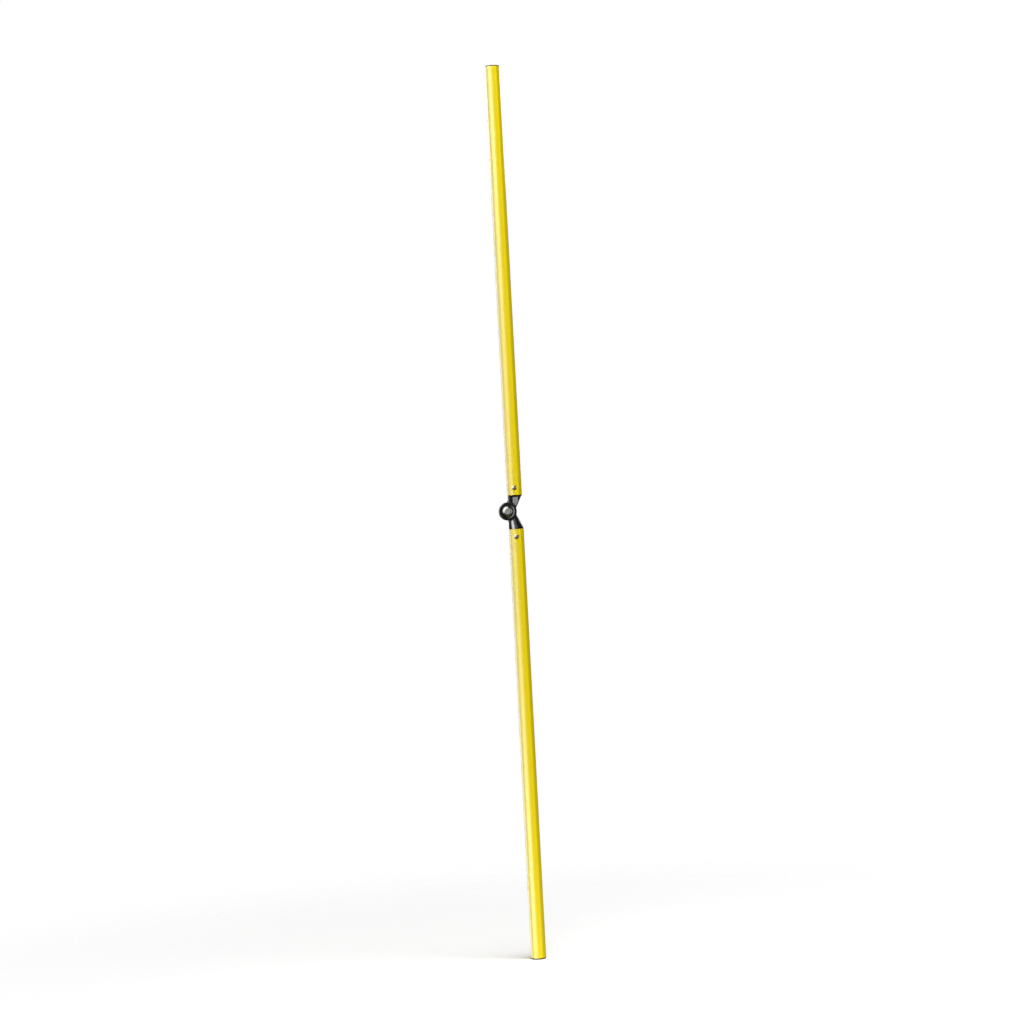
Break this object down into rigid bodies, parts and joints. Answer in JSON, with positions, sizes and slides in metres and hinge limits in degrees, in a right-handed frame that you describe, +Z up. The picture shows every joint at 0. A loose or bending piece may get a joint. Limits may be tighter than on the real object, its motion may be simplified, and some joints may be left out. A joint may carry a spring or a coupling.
{
  "type": "folding probe pole",
  "caption": "Two straight tubes joined end to end by an offset knuckle hinge with one friction bolt, so that the pole folds flat to half its length.",
  "frame": {"origin": "centre of the flat foot face, at the bottom of the lower end plug", "axes": "+Z up the pole, +X away from the hinge's pivot, the pivot bolt's head faces -Y; drawn unfolded and straight"},
  "size_m": [0.0407, 0.033, 1.5],
  "materials": {
    "yellow_tube": "glossy yellow tube",
    "black_moulding": "fine moulded texture with a slight sheen",
    "dark_plug": "satin moulded plug",
    "zinc_steel": "bright zinc plate",
    "spring_steel": "dull spring steel",
    "rivet_aluminium": "pressed aluminium",
    "mandrel_steel": "broken steel stem",
    "acetal": "smooth natural acetal",
    "nylon_insert": "natural nylon"
  },
  "bodies": {
    "lower_section": {"lower_tube": "yellow_tube", "lower_end_plug": "dark_plug", "lower_knuckle": "black_moulding", "pivot_sleeve": "zinc_steel", "front_friction_washer": "acetal", "rear_friction_washer": "acetal", "lower_front_rivet": "rivet_aluminium", "lower_front_mandrel": "mandrel_steel", "lower_rear_rivet": "rivet_aluminium", "lower_rear_mandrel": "mandrel_steel"},
    "upper_section": {"upper_tube": "yellow_tube", "upper_end_plug": "dark_plug", "upper_knuckle": "black_moulding", "pivot_bolt": "zinc_steel", "head_washer": "zinc_steel", "spring_washer": "spring_steel", "lock_nut": "zinc_steel", "lock_nut_insert": "nylon_insert", "upper_front_rivet": "rivet_aluminium", "upper_front_mandrel": "mandrel_steel", "upper_rear_rivet": "rivet_aluminium", "upper_rear_mandrel": "mandrel_steel"}
  },
  "joints": [
    {"name": "fold", "type": "hinge", "parent": "lower_section", "child": "upper_section", "pos_m": [-0.013, 0, 0.7518], "axis": [0, -1, 0], "range_deg": [0, 180]}
  ]
}
